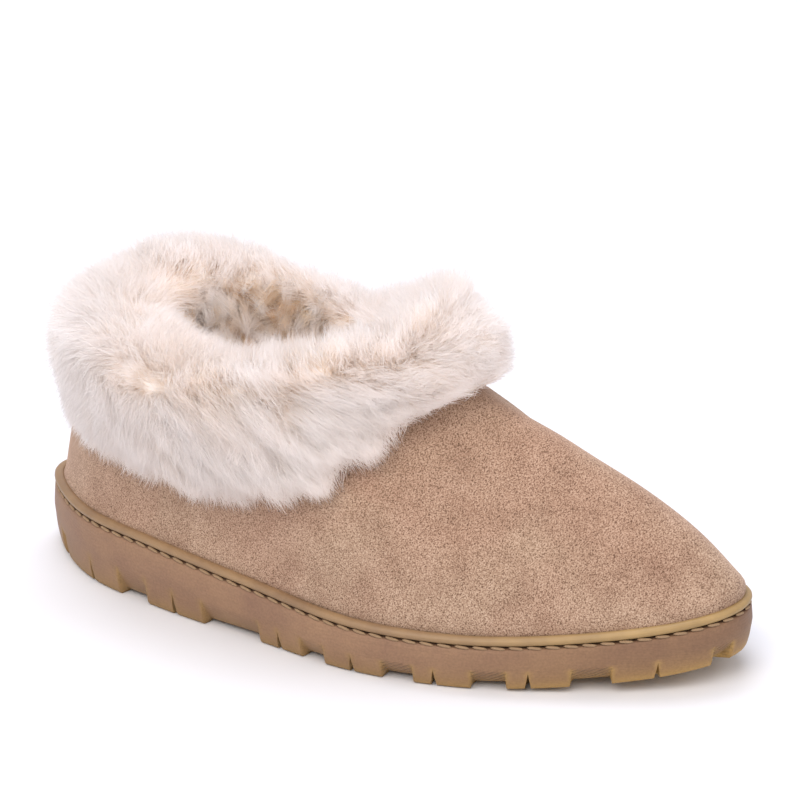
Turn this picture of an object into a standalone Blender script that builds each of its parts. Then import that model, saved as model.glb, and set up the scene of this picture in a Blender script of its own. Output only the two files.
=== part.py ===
"""Memory foam slipper for the right foot: a suede upper with a deep fur cuff folded over its collar,
on a stitched welt and a rubber lug sole, with a foam insole. The toe points along +X, the shoe's outer
side is -Y, and it stands empty on its sole at Z = 0. Sizes below are in millimetres."""

import bpy
import bmesh
import numpy as np

MM = 0.001
GAP = 0.3  # clear space left between pieces that meet
CUFF_GAP = 0.5  # and under the cuff, where two curved faces lie together


def table(names, *rows):
    """The columns of a table by name."""
    return dict(zip(names.split(), np.array(rows, float).T))


# Driving dimensions of the shoe
LENGTH = 264.0
HEEL_SHIFT = 1.0  # the back of the heel sits this far to the inner side
TOE_SHIFT = 6.4  # and the tip of the toe this far
TOE_SPRING = 8.0
SPRING_START = 0.68  # share of the length where the sole starts to lift
HEEL_HEIGHT = 22.5  # floor to the stitch groove
BALL_HEIGHT = 14.8
ARCH_START, ARCH_END = 0.15, 0.65  # the sole thins from heel to ball between these shares
COLUMNS = 72  # sections around the shoe
SAMPLES = 2001  # points used to measure along the sole's edge

# The sole's plan: distance from the heel-toe axis, before the ends are rounded off
SOLE = table(
    "share outer inner",
    (0.00, 42.4, 41.0),
    (0.10, 53.1, 45.0),
    (0.25, 53.5, 37.0),
    (0.42, 55.0, 27.0),
    (0.58, 61.0, 32.5),
    (0.72, 60.5, 42.0),
    (0.88, 54.5, 47.5),
    (1.00, 52.5, 51.8),
)

# The sole's side from the groove down: share of its height, bulge outwards, share of the taper
WALL = table(
    "down bulge taper",
    (0.00, -0.9, 0.00),
    (0.05, 0.0, 0.00),
    (0.35, 0.6, 0.10),
    (0.70, 0.4, 0.50),
    (0.95, -0.1, 1.00),
    (1.00, -0.9, 1.00),
)
HEEL_TAPER, TOE_TAPER = 3.0, 1.2

# Side lugs: start, slit and stop along the outer edge, measured from the back of the heel
LUGS = table(
    "start slit stop",
    (30.5, 52.6, 68.3),
    (81.4, 94.5, 107.8),
    (132.1, 140.8, 150.7),
    (160.0, 170.9, 182.2),
    (192.8, 200.0, 212.6),
    (223.9, 231.2, 245.1),
    (258.2, 273.2, 292.3),
)
HEEL_LUG_STOP, TOE_LUG_START = 25.5, 300.2
RECESS_SHARE = 0.50  # the spaces between lugs reach this share of the sole's height
RECESS_DEPTH = 5.0
RECESS_STEPS = 3  # ribs down the slanted face of a space
RIB = 0.7
TREAD_DEPTH = 2.6
TREAD_REACH = 26.0
SLIT_WIDTH, SLIT_SHARE, SLIT_REACH = 1.7, 0.40, 20.0
CUTTER_OUT, CUTTER_DOWN = 4.0, 3.0  # how far a cutter starts outside the rubber

# The welt's bead: distance out from the sole's edge, height above the groove
WELT_WIDTH = 3.2
WELT = table(
    "out up",
    (-3.2, 0.3),
    (-0.9, 0.3),
    (-0.1, 0.9),
    (0.2, 1.8),
    (-0.2, 2.8),
    (-1.3, 3.4),
    (-3.2, 3.3),
)

# The upper: one suede wall from the welt to the collar
WALL_THICK = 2.0
UPPER_LINES = (0.0, 0.06, 0.14, 0.26, 0.40, 0.55, 0.70, 0.85, 1.0)  # closer where the wall curves most
SWING = np.radians(65.0)  # how far round its quarter a section has gone at the collar
COLLAR_X, COLLAR_Y = 85.0, -3.0
COLLAR_HALF_LENGTH, COLLAR_HALF_WIDTH = 65.5, 33.0
COLLAR_HEIGHT, COLLAR_RISE, COLLAR_DIP, COLLAR_TILT = 87.0, 1.5, 3.5, 3.5

# Round the shoe from the toe: how the wall rounds over and rises, where the cuff's hem lies on it,
# and how deep the cuff is there
ROUND = table(
    "turn over rise hem deep",
    (0.0, 0.64, 2.05, 0.90, 1.55),
    (35.0, 0.64, 1.72, 0.89, 1.50),
    (60.0, 1.07, 1.87, 0.85, 1.35),
    (80.0, 1.49, 1.92, 0.70, 1.10),
    (100.0, 1.50, 1.80, 0.56, 1.00),
    (130.0, 1.15, 1.45, 0.50, 1.00),
    (180.0, 0.80, 1.15, 0.54, 0.90),
)

# The cuff across its fold: how far along the wall it is held (0 hem, 1 collar, more is inside),
# the way it stands off the wall in degrees (0 straight out, 90 upwards, 180 inwards), and how far
CUFF = table(
    "row along tilt depth",
    (-1, -0.20, -10.0, 4.0),
    (0, 0.00, -20.0, 6.0),
    (1, 0.16, -5.0, 9.0),
    (2, 0.45, 5.0, 11.0),
    (3, 0.80, 20.0, 12.5),
    (4, 1.00, 50.0, 14.5),
    (5, 1.00, 90.0, 15.0),
    (6, 1.00, 130.0, 12.0),
    (7, 1.15, 165.0, 8.0),
    (8, 1.40, 180.0, 5.0),
)
CUFF_COLUMNS = 92
CUFF_FULLER = 0.35  # extra depth of the fold's crest at the back of the inner side
FULLER_TURN = 235.0
CUFF_HELD = (0.0, 0.25, 0.5, 0.75)  # the cuff's rows against the outside of the wall
CUFF_INSIDE = (1.20, 1.40)  # and against its inside

# One row of fur locks: place across the fold, how far it stands off and how far its tip runs on
LOCK = table(
    "place stand run",
    (0.30, 0.0, 0.0),
    (0.10, 5.0, -0.9),
    (0.85, 3.5, 0.0),
)
LOCK_ROWS_OUT = (0, 1, 2, 3, 4, 5)  # rows whose tips hang outwards
LOCK_ROWS_IN = (8, 7)  # rows whose tips hang into the shoe
LOCK_VALLEY = 0.35  # share of the stand left between two locks
LOCK_SPREAD = 0.3
SEED = 7

# The insole: foam as thick as this, its edge rounded
INSOLE_THICK = 7.0
INSOLE = table(
    "in share",
    (0.2, 0.00),
    (0.4, 0.65),
    (2.0, 1.00),
)

COLOURS = {
    "outsole": ("#93745f", 0.55),
    "welt": ("#9a7c5f", 0.50),
    "upper": ("#a9856f", 0.90),
    "insole": ("#d8c6b0", 0.95),
    "fur_cuff": ("#e6dcd4", 0.95),
}


def along(values, name, key, x):
    """Smooth curve through one column of a table, level at both ends for a turn."""
    at, height = values[key], values[name]
    slope = np.gradient(height, at)
    if key == "turn":
        slope[[0, -1]] = 0.0
    i = np.clip(np.searchsorted(at, x) - 1, 0, len(at) - 2)
    width = at[i + 1] - at[i]
    s = (x - at[i]) / width
    r = 1.0 - s
    ends = height[i] * (1.0 + 2.0 * s) * r**2 + height[i + 1] * s**2 * (3.0 - 2.0 * s)
    return ends + width * (slope[i] * s * r**2 - slope[i + 1] * s**2 * r)


def ease(x):
    x = np.clip(x, 0.0, 1.0)
    return x * x * (3.0 - 2.0 * x)


def share(turn):
    """Share of the length at an angle round the shoe: 1 at the toe, 0 at the heel."""
    return 0.5 * (1.0 + np.cos(turn))


def edge(turn):
    """Plan of the sole's edge, toe first, then down the outer side to the heel and back."""
    t = share(turn)
    axis = HEEL_SHIFT + (TOE_SHIFT - HEEL_SHIFT) * t
    outer = axis - along(SOLE, "outer", "share", t) * np.abs(np.sin(turn))
    inner = axis + along(SOLE, "inner", "share", t) * np.abs(np.sin(turn))
    return np.stack([LENGTH * t, np.where(np.sin(turn) > 0.0, outer, inner)], -1)


def outward(turn, step=1e-4):
    """The level direction out of the sole's edge."""
    d = edge(turn + step) - edge(turn - step)
    n = np.stack([-d[..., 1], d[..., 0]], -1)
    return n / np.linalg.norm(n, axis=-1, keepdims=True)


def beside(turn, out):
    """The sole's edge moved out by a distance."""
    return edge(turn) + outward(turn) * np.asarray(out)[..., None]


def lift(t):
    return TOE_SPRING * np.clip((t - SPRING_START) / (1.0 - SPRING_START), 0.0, 1.0) ** 2


def groove(t):
    """Height of the stitch groove over the floor."""
    thin = ease((t - ARCH_START) / (ARCH_END - ARCH_START))
    return HEEL_HEIGHT + (BALL_HEIGHT - HEEL_HEIGHT) * thin + lift(t)


def fold(turn):
    """Angle from the toe in degrees, the same on both sides."""
    turn = np.mod(turn, 2.0 * np.pi)
    return np.degrees(np.minimum(turn, 2.0 * np.pi - turn))


def collar(turn):
    """The collar's edge: an oval that rises at the throat and at the heel."""
    x = COLLAR_X + COLLAR_HALF_LENGTH * np.cos(turn)
    y = COLLAR_Y - COLLAR_HALF_WIDTH * np.sin(turn)
    z = COLLAR_HEIGHT + COLLAR_RISE * np.cos(turn) + COLLAR_DIP * np.cos(2.0 * turn)
    return np.stack([x, y, z - COLLAR_TILT * np.sin(turn)], -1)


def upper(turn, up):
    """The suede's outer face: up runs from 0 at the welt to 1 at the collar. In each section the wall
    is part of a rounded square, upright at the welt and leaning in to the collar."""
    low = beside(turn, -WELT_WIDTH - GAP)
    foot = np.concatenate([low, (groove(share(turn)) + GAP)[..., None]], -1)
    over_power = 2.0 / along(ROUND, "over", "turn", fold(turn))
    rise_power = 2.0 / along(ROUND, "rise", "turn", fold(turn))
    over = (1.0 - np.cos(SWING * up) ** over_power) / (1.0 - np.cos(SWING) ** over_power)
    rise = (np.sin(SWING * up) / np.sin(SWING)) ** rise_power
    across = np.stack([over, over, rise], -1)
    return foot + (collar(turn) - foot) * across


def wall_frame(turn, up, step=1e-3):
    """Outward and upward directions of the suede at a point."""
    a = np.clip(up - step, step, 1.0 - 2.0 * step)
    rise = upper(turn, a + step) - upper(turn, a)
    round_ = upper(turn + step, a) - upper(turn - step, a)
    out = np.cross(rise, round_)
    out /= np.linalg.norm(out, axis=-1, keepdims=True)
    rise /= np.linalg.norm(rise, axis=-1, keepdims=True)
    return out, rise


def off_wall(turn, up, out):
    """A point moved off the suede's outer face; the foot of the wall stays level."""
    normal = wall_frame(turn, up)[0]
    flat = normal * np.array([1.0, 1.0, 0.0])
    flat /= np.linalg.norm(flat, axis=-1, keepdims=True)
    normal = np.where(np.asarray(up)[..., None] > 0.0, normal, flat)
    return upper(turn, up) + normal * np.asarray(out)[..., None]


def wall_height(turn):
    return collar(turn)[..., 2] - groove(share(turn)) - GAP


def wall_share(turn, high):
    """The wall's own measure at a share of its height."""
    rise = along(ROUND, "rise", "turn", fold(turn))
    return np.arcsin(high ** (rise / 2.0) * np.sin(SWING)) / SWING


def turns(count=COLUMNS):
    return np.arange(count) * 2.0 * np.pi / count


def tube(rings):
    """Faces of rings of points, each joined to the next and the last to the first."""
    rows, count = rings.shape[:2]
    i, k = np.meshgrid(np.arange(rows), np.arange(count), indexing="ij")
    j, m = (i + 1) % rows, (k + 1) % count
    quads = np.stack([i * count + k, i * count + m, j * count + m, j * count + k], -1)
    return rings.reshape(-1, 3), quads.reshape(-1, 4).tolist()


def capped(rings):
    """Rings from top to bottom, with a floor and a lid of strips that run straight across the shoe."""
    rows, count = rings.shape[:2]
    points, quads = tube(rings)
    quads = quads[: (rows - 1) * count]
    half = count // 2
    for base in (0, (rows - 1) * count):
        for k in range(half):
            a, b, c, d = base + k, base + k + 1, base + (count - k - 1), base + (count - k) % count
            quads.append([n for i, n in enumerate((a, b, c, d)) if n not in (a, b, c, d)[:i]])
    return points, quads


def outsole_body():
    turn = turns()
    t = share(turn)
    taper = HEEL_TAPER + (TOE_TAPER - HEEL_TAPER) * ease(t)
    rings = []
    for down, bulge, drop in zip(WALL["down"], WALL["bulge"], WALL["taper"]):
        plan = beside(turn, bulge - drop * taper)
        z = groove(t) + (lift(t) - groove(t)) * down
        rings.append(np.concatenate([plan, z[:, None]], -1))
    return capped(np.array(rings))


def side_places(distance, side):
    """Angles round the shoe at distances from the heel, along the outer side (1) or the inner (-1)."""
    sweep = np.linspace(0.0, np.pi, SAMPLES)
    runs = {}
    for way in (1, -1):
        steps = np.linalg.norm(np.diff(edge(np.pi - way * sweep), axis=0), axis=1)
        runs[way] = np.concatenate([[0.0], np.cumsum(steps)])
    scale = runs[side][-1] / runs[1][-1]
    return np.interp(np.asarray(distance) * scale, runs[side], np.pi - side * sweep)


def prism(first, last):
    """A closed bar: one outline drawn at two places."""
    count = len(first)
    ring = list(range(count))
    sides = [[k, (k + 1) % count, count + (k + 1) % count, count + k] for k in range(count)]
    return np.concatenate([first, last]), sides + [ring[::-1], [count + k for k in ring]]


def placed(turn, out, z, side):
    """Points from distances out of the edge, heights and distances along it."""
    n = outward(turn)
    tangent = np.array([-n[1], n[0]])
    plan = edge(turn) + np.outer(out, n) + np.outer(side, tangent)
    return np.concatenate([plan, np.asarray(z)[:, None]], -1)


def recess(start, stop, side):
    """Cutter for the space between two lugs: a ribbed face slanting in, then a shallow tread channel."""
    a, b = side_places((start, stop), side)
    turn = 0.5 * (a + b)
    half = 0.5 * np.linalg.norm(edge(a) - edge(b))
    t = share(turn)
    high, low = RECESS_SHARE * (groove(t) - lift(t)), TREAD_DEPTH
    steps = np.linspace(0.0, 1.0, RECESS_STEPS + 1)
    out = [CUTTER_OUT, CUTTER_OUT]
    z = [-CUTTER_DOWN, high + (high - low) * CUTTER_OUT / RECESS_DEPTH]
    for first, last in zip(steps[:-1], steps[1:]):
        out += [-RECESS_DEPTH * first - RIB, -RECESS_DEPTH * last]
        z += [high + (low - high) * first, high + (low - high) * last]
    out += [-TREAD_REACH, -TREAD_REACH]
    z += [low, -CUTTER_DOWN]
    z = np.array(z) + lift(t)
    ends = [placed(turn, np.array(out), z, np.full(len(out), s)) for s in (-half, half)]
    return prism(*ends)


def slit(distance, side):
    """Cutter for the V cut that splits a lug."""
    turn = side_places(distance, side)
    t = share(turn)
    high = SLIT_SHARE * (groove(t) - lift(t))
    across = SLIT_WIDTH * np.array([-0.5, 0.5, 0.0]) * (high + CUTTER_DOWN) / high
    z = np.array([-CUTTER_DOWN, -CUTTER_DOWN, high]) + lift(t)
    ends = [placed(turn, np.full(3, out), z, across) for out in (CUTTER_OUT, -SLIT_REACH)]
    return prism(*ends)


def tread_cutters():
    starts = np.append(LUGS["start"], TOE_LUG_START)
    stops = np.insert(LUGS["stop"], 0, HEEL_LUG_STOP)
    found = []
    for side in (1, -1):
        found += [recess(stop, start, side) for stop, start in zip(stops, starts)]
        found += [slit(place, side) for place in LUGS["slit"]]
    return found


def welt_body():
    turn = turns()
    rings = []
    for out, up in zip(WELT["out"], WELT["up"]):
        plan = beside(turn, out)
        rings.append(np.concatenate([plan, (groove(share(turn)) + up)[:, None]], -1))
    return tube(np.array(rings))


def upper_body():
    turn = turns()
    outside = [off_wall(turn, up, 0.0) for up in UPPER_LINES]
    inside = [off_wall(turn, up, -WALL_THICK) for up in UPPER_LINES[::-1]]
    return tube(np.array(outside + inside))


def insole_body():
    turn = turns()
    t = share(turn)
    rings = []
    for inset, part in zip(INSOLE["in"][::-1], INSOLE["share"][::-1]):
        high = INSOLE_THICK * part
        up = wall_share(turn, high / wall_height(turn))
        plan = off_wall(turn, up, -WALL_THICK - GAP - inset)
        rings.append(np.concatenate([plan[:, :2], (groove(t) + GAP + high)[:, None]], -1))
    return capped(np.array(rings))


def cuff_height(turn, part):
    """The wall's own measure at a share of the cuff's outer flap, from its hem to the collar."""
    hem_up = wall_share(turn, along(ROUND, "hem", "turn", fold(turn)))
    return hem_up + (1.0 - hem_up) * part


def cuff_point(turn, row, stand):
    """A point on the cuff's free side."""
    part, tilt, depth = (np.interp(row, CUFF["row"], CUFF[name]) for name in ("along", "tilt", "depth"))
    tilt = np.radians(tilt)
    fuller = CUFF_FULLER * ease(np.cos(turn - np.radians(FULLER_TURN))) * np.sin(np.clip(tilt, 0.0, np.pi))
    depth = depth * (along(ROUND, "deep", "turn", fold(turn)) + fuller) + stand
    up = cuff_height(turn, 1.0 - np.abs(1.0 - part))
    out, rise = wall_frame(turn, up)
    held = off_wall(turn, up, np.where(part > 1.0, -WALL_THICK, 0.0))
    return held + (out * np.cos(tilt)[..., None] + rise * np.sin(tilt)[..., None]) * depth[..., None]


def lock_lines():
    """Lines of the cuff from its hem over the fold: place, stand, run and which columns hold tips."""
    profile = list(zip(LOCK["place"], LOCK["stand"], LOCK["run"]))
    lines = []
    for start in LOCK_ROWS_OUT:
        lines += [(start + place, stand, run, start % 2) for place, stand, run in profile]
    for start in LOCK_ROWS_IN[::-1]:
        lines += [(start - place, stand, -run, start % 2) for place, stand, run in profile[::-1]]
    return lines


def cuff_body():
    """The cuff: rows of pointed locks over its fold, closed against both faces of the suede."""
    turn = turns(CUFF_COLUMNS)
    chance = np.random.default_rng(SEED)
    rings = []
    for place, stand, run, odd in lock_lines():
        tip = (np.arange(CUFF_COLUMNS) % 2 == odd) * 1.0
        vary, aside = LOCK_SPREAD * chance.uniform(-1.0, 1.0, (2, CUFF_COLUMNS))
        swing = turn + turn[1] * aside * tip * (run != 0.0)
        share_out = (LOCK_VALLEY + (1.0 - LOCK_VALLEY) * tip) * (1.0 + vary)
        rings.append(cuff_point(swing, place + run * tip * (1.0 + vary), stand * share_out))
    brim = wall_frame(turn, 1.0)[1] * GAP
    inside = -WALL_THICK - CUFF_GAP
    rings += [off_wall(turn, cuff_height(turn, 2.0 - part), inside) for part in CUFF_INSIDE[::-1]]
    rings += [off_wall(turn, 1.0, out) + brim for out in (inside, CUFF_GAP)]
    rings += [off_wall(turn, cuff_height(turn, part), CUFF_GAP) for part in CUFF_HELD[::-1]]
    return tube(np.array(rings))


def joined(bodies):
    """Several closed bodies as one list of points and faces."""
    points, faces, start = [], [], 0
    for body_points, body_faces in bodies:
        points.append(body_points)
        faces += [[start + n for n in face] for face in body_faces]
        start += len(body_points)
    return np.concatenate(points), faces


def make(name, body, shift):
    """An object from points in millimetres, its faces turned outwards."""
    points, faces = body
    mesh = bpy.data.meshes.new(name)
    mesh.from_pydata(((points - shift) * MM).tolist(), [], faces)
    work = bmesh.new()
    work.from_mesh(mesh)
    bmesh.ops.recalc_face_normals(work, faces=work.faces)
    if work.calc_volume(signed=True) < 0.0:
        bmesh.ops.reverse_faces(work, faces=work.faces)
    bmesh.ops.triangulate(work, faces=[f for f in work.faces if len(f.verts) > 4])
    work.to_mesh(mesh)
    work.free()
    obj = bpy.data.objects.new(name, mesh)
    bpy.context.scene.collection.objects.link(obj)
    return obj


def linear(code):
    """A hex colour as the linear values that a material takes."""
    values = np.array([int(code[k : k + 2], 16) for k in (1, 3, 5)]) / 255.0
    return np.where(values <= 0.04045, values / 12.92, ((values + 0.055) / 1.055) ** 2.4)


def paint(obj, code, rough):
    material = bpy.data.materials.new(obj.name)
    material.use_nodes = True
    shader = material.node_tree.nodes["Principled BSDF"]
    shader.inputs["Base Color"].default_value = (*linear(code), 1.0)
    shader.inputs["Roughness"].default_value = rough
    shader.inputs["Metallic"].default_value = 0.0
    obj.data.materials.append(material)


def combine(obj, tool, operation):
    tool.hide_render = True
    tool.display_type = "WIRE"
    change = obj.modifiers.new(operation.lower(), "BOOLEAN")
    change.operation = operation
    change.solver = "EXACT"
    change.use_self = True
    change.object = tool


def build():
    for obj in list(bpy.data.objects):
        bpy.data.objects.remove(obj)
    bodies = {
        "outsole": outsole_body(),
        "welt": welt_body(),
        "upper": upper_body(),
        "insole": insole_body(),
        "fur_cuff": cuff_body(),
    }
    every = np.concatenate([points for points, _ in bodies.values()])
    low, high = every.min(axis=0), every.max(axis=0)
    shift = np.array([0.5 * (low[0] + high[0]), 0.5 * (low[1] + high[1]), low[2]])
    made = {name: make(name, body, shift) for name, body in bodies.items()}
    combine(made["outsole"], make("tread_cutters", joined(tread_cutters()), shift), "DIFFERENCE")
    for name, (code, rough) in COLOURS.items():
        paint(made[name], code, rough)


if __name__ == "__main__":
    build()
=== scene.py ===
# %% [markdown]
# A memory foam slipper for the right foot: a suede upper, a deep fur cuff folded over its collar, a stitched
# welt and a gum rubber lug sole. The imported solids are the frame. Each step below makes one piece or finish
# around them, as a surface worked out with numpy, and prints what it made.

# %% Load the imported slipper
import bpy
import numpy as np
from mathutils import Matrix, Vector


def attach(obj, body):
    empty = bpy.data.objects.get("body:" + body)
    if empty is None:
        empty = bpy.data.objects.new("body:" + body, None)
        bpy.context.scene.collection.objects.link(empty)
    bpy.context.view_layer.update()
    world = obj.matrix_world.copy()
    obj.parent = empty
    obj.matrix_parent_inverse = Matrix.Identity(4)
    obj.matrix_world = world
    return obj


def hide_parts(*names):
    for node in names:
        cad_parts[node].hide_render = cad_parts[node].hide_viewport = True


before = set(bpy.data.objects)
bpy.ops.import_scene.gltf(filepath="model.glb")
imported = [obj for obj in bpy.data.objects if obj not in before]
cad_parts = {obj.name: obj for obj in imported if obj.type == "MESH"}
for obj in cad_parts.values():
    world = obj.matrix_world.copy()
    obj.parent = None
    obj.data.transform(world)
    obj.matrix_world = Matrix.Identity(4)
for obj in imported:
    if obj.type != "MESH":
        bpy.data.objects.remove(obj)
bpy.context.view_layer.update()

MM = 0.001

# %% [markdown]
# The camera stands where the photograph was taken: a long lens, a little above the shoe and well round to
# its outer side in front of the toe. A long lens keeps the heel nearly as large as the toe.

# %% Camera
VIEW_AZIMUTH, VIEW_ELEVATION = 29.73, 20.62
VIEW_DISTANCE = 1300.4 * MM
LOOK_AT = Vector((-1.1, 17.4, 69.0)) * MM
LENS_MM, SENSOR_MM = 173.26, 36.0


def towards_viewer(azimuth, elevation):
    """Unit vector to a viewer: azimuth turns from -Y to +X, elevation rises from the floor."""
    a, e = np.radians((azimuth, elevation))
    return Vector((np.sin(a) * np.cos(e), -np.cos(a) * np.cos(e), np.sin(e)))


def aimed(name, data, azimuth, elevation, distance, at):
    """An object at a distance from a point, turned to look at it."""
    made = bpy.data.objects.new(name, data)
    back = towards_viewer(azimuth, elevation)
    made.location = at + back * distance
    made.rotation_mode = "QUATERNION"
    made.rotation_quaternion = (-back).to_track_quat("-Z", "Y")
    bpy.context.scene.collection.objects.link(made)
    return made


lens = bpy.data.cameras.new("photo_camera")
lens.lens, lens.sensor_width = LENS_MM, SENSOR_MM
camera = aimed("photo_camera", lens, VIEW_AZIMUTH, VIEW_ELEVATION, VIEW_DISTANCE, LOOK_AT)
bpy.context.scene.camera = camera
print("camera at, in mm:", [round(x / MM) for x in camera.location])

# %% [markdown]
# The studio is a white floor under three wide softboxes in a pale, nearly neutral world. The strongest is a
# touch warm and stands high on the shoe's outer side. A cooler one hangs overhead, a little behind, and a
# weak one stands before the toe. Lights as wide as these leave one soft shadow under the sole. The plain
# display transform keeps the colours as they are written.

# %% Light and floor
FLOOR_HALF = 4.0
FLOOR_DROP = 0.2 * MM  # the floor lies just under the rubber, so that the two faces don't fight
LIT_POINT = Vector((0.0, 0.0, 50.0)) * MM
WORLD_TINT, WORLD_STRENGTH = "#edeef5", 0.77
bpy.context.scene.view_settings.view_transform = "Standard"


def linear(code):
    """A hex colour as linear red, green and blue: the sRGB curve undone."""
    values = np.array([int(code[k : k + 2], 16) for k in (1, 3, 5)]) / 255.0
    return np.where(values <= 0.04045, values / 12.92, ((values + 0.055) / 1.055) ** 2.4)


def colour(code):
    return (*linear(code), 1.0)


def softbox(name, azimuth, elevation, distance, size, watts, tint):
    light = bpy.data.lights.new(name, "AREA")
    light.size, light.energy, light.color = size, watts, linear(tint)
    return aimed(name, light, azimuth, elevation, distance, LIT_POINT)


softbox("overhead", 215.0, 66.0, 1.5, 1.1, 13.0, "#f3f5ff")
softbox("front", 5.0, 48.0, 1.6, 1.2, 17.0, "#fff7f0")
softbox("front_right", 80.0, 35.0, 1.7, 1.2, 5.0, "#fff7f0")
world = bpy.data.worlds.new("pale_studio")
bpy.context.scene.world = world
world.use_nodes = True
background = world.node_tree.nodes["Background"]
background.inputs["Color"].default_value = colour(WORLD_TINT)
background.inputs["Strength"].default_value = WORLD_STRENGTH
corners = np.array([(-1, -1), (1, -1), (1, 1), (-1, 1)]) * FLOOR_HALF
floor_mesh = bpy.data.meshes.new("floor")
floor_mesh.from_pydata([(x, y, -FLOOR_DROP) for x, y in corners], [], [(0, 1, 2, 3)])
floor = bpy.data.objects.new("floor", floor_mesh)
bpy.context.scene.collection.objects.link(floor)

# %% [markdown]
# Materials are small node trees. One function adds a node with its settings and links, one sets or joins a
# node's inputs, and one starts a material with its shader. A pattern's scale comes from a real size: a noise
# whose spots are 2 mm wide has 500 of them to the metre.

# %% Helpers for materials
MIXED = {"data_type": "RGBA", "blend_type": "MIX"}
MULTIPLIED = {"data_type": "RGBA", "blend_type": "MULTIPLY"}


def feed(tree, node, *inputs):
    """Sets a node's inputs: pairs of a socket's name or number and a value, a hex colour, or the output
    that feeds it."""
    for socket, value in inputs:
        if isinstance(value, bpy.types.NodeSocket):
            tree.links.new(value, node.inputs[socket])
        else:
            node.inputs[socket].default_value = colour(value) if isinstance(value, str) else value


def add(tree, kind, *inputs, stops=(), **settings):
    """Adds one shader node and feeds its inputs. Settings are its properties, and stops are a ramp's places
    and hex colours."""
    made = tree.nodes.new("ShaderNode" + kind)
    for name, value in settings.items():
        setattr(made, name, value)
    feed(tree, made, *inputs)
    for _ in stops[2:]:
        made.color_ramp.elements.new(0.5)
    for k, (at, code) in enumerate(stops):
        stop = made.color_ramp.elements[k]
        stop.position, stop.color = at, colour(code)
    return made


def material(name):
    """A new material: its node tree and its one shader."""
    made = bpy.data.materials.new(name)
    made.use_nodes = True
    return made, made.node_tree, made.node_tree.nodes["Principled BSDF"]


def per_metre(millimetres):
    """Texture scale for a pattern of this size."""
    return 1.0 / (millimetres * MM)


paper, paper_tree, paper_shader = material("matt_white_paper")
# Matt paper gives no gloss, so the shadow is the only thing seen on the floor.
feed(paper_tree, paper_shader, ("Base Color", "#e6e7ea"), ("Roughness", 0.95), ("Specular IOR Level", 0.1))
floor_mesh.materials.append(paper)
print("floor is", paper.name)

# %% [markdown]
# Every piece of a shoe follows its last, so the shapes below share one set of formulas. Going round the
# shoe is a turn: 0 at the toe, a quarter at the outer side, a half at the heel. Sizes are in millimetres
# from the back of the heel, and `place` moves them into the frame.

# %% The last: plan and sole height
MIDDLE = np.array([132.09, -4.40, 0.0])  # the frame's origin, seen from the back of the heel
LENGTH = 264.0
HEEL_SHIFT, TOE_SHIFT = 1.0, 6.4
TOE_SPRING, SPRING_START = 8.0, 0.68
HEEL_HEIGHT, BALL_HEIGHT = 22.5, 14.8
ARCH_START, ARCH_END = 0.15, 0.65


def table(names, *rows):
    return dict(zip(names.split(), np.array(rows, float).T))


SOLE = table(
    "share outer inner",
    (0.00, 42.4, 41.0),
    (0.10, 53.1, 45.0),
    (0.25, 53.5, 37.0),
    (0.42, 55.0, 27.0),
    (0.58, 61.0, 32.5),
    (0.72, 60.5, 42.0),
    (0.88, 54.5, 47.5),
    (1.00, 52.5, 51.8),
)


def along(values, name, key, x):
    """Smooth curve through a column: cubic steps whose slopes are those of the neighbours, level at the
    ends of a turn."""
    at, height = values[key], values[name]
    slope = np.gradient(height, at)
    if key == "turn":
        slope[[0, -1]] = 0.0
    i = np.clip(np.searchsorted(at, x) - 1, 0, len(at) - 2)
    width = at[i + 1] - at[i]
    s = (x - at[i]) / width
    r = 1.0 - s
    ends = height[i] * (1.0 + 2.0 * s) * r**2 + height[i + 1] * s**2 * (3.0 - 2.0 * s)
    return ends + width * (slope[i] * s * r**2 - slope[i + 1] * s**2 * r)


def ease(x):
    """0 to 1 with level ends: three x squared less two x cubed."""
    x = np.clip(x, 0.0, 1.0)
    return x * x * (3.0 - 2.0 * x)


def share(turn):
    """Share of the length at a turn: half of one plus its cosine."""
    return 0.5 * (1.0 + np.cos(turn))


def edge(turn):
    """The sole's edge: length times share, and the side's half width times the sine of the turn."""
    t = share(turn)
    axis = HEEL_SHIFT + (TOE_SHIFT - HEEL_SHIFT) * t
    outer = axis - along(SOLE, "outer", "share", t) * np.abs(np.sin(turn))
    inner = axis + along(SOLE, "inner", "share", t) * np.abs(np.sin(turn))
    return np.stack([LENGTH * t, np.where(np.sin(turn) > 0.0, outer, inner)], -1)


def outward(turn, step=1e-4):
    """Level unit vector out of the edge: its tangent turned a quarter."""
    d = edge(turn + step) - edge(turn - step)
    n = np.stack([-d[..., 1], d[..., 0]], -1)
    return n / np.linalg.norm(n, axis=-1, keepdims=True)


def beside(turn, out):
    """The edge moved out by a distance."""
    return edge(turn) + outward(turn) * np.asarray(out)[..., None]


def lift(t):
    """Toe spring: the square of how far past the ball a point lies."""
    return TOE_SPRING * np.clip((t - SPRING_START) / (1.0 - SPRING_START), 0.0, 1.0) ** 2


def groove(t):
    """Height of the stitch groove: thick at the heel, thin at the ball, lifted at the toe."""
    thin = ease((t - ARCH_START) / (ARCH_END - ARCH_START))
    return HEEL_HEIGHT + (BALL_HEIGHT - HEEL_HEIGHT) * thin + lift(t)


def solid(plan, z):
    """Plan points and heights as points in space."""
    return np.concatenate([plan, np.broadcast_to(z, plan.shape[:-1])[..., None]], -1)


def place(points):
    return (points - MIDDLE) * MM


SAMPLES = 4001
half_round = np.linspace(0.0, np.pi, SAMPLES)
side_run = {}
for side in (1, -1):
    steps = np.linalg.norm(np.diff(edge(np.pi - side * half_round), axis=0), axis=1)
    side_run[side] = np.concatenate([[0.0], np.cumsum(steps)])
SIDE_LENGTH = side_run[1][-1]


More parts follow.
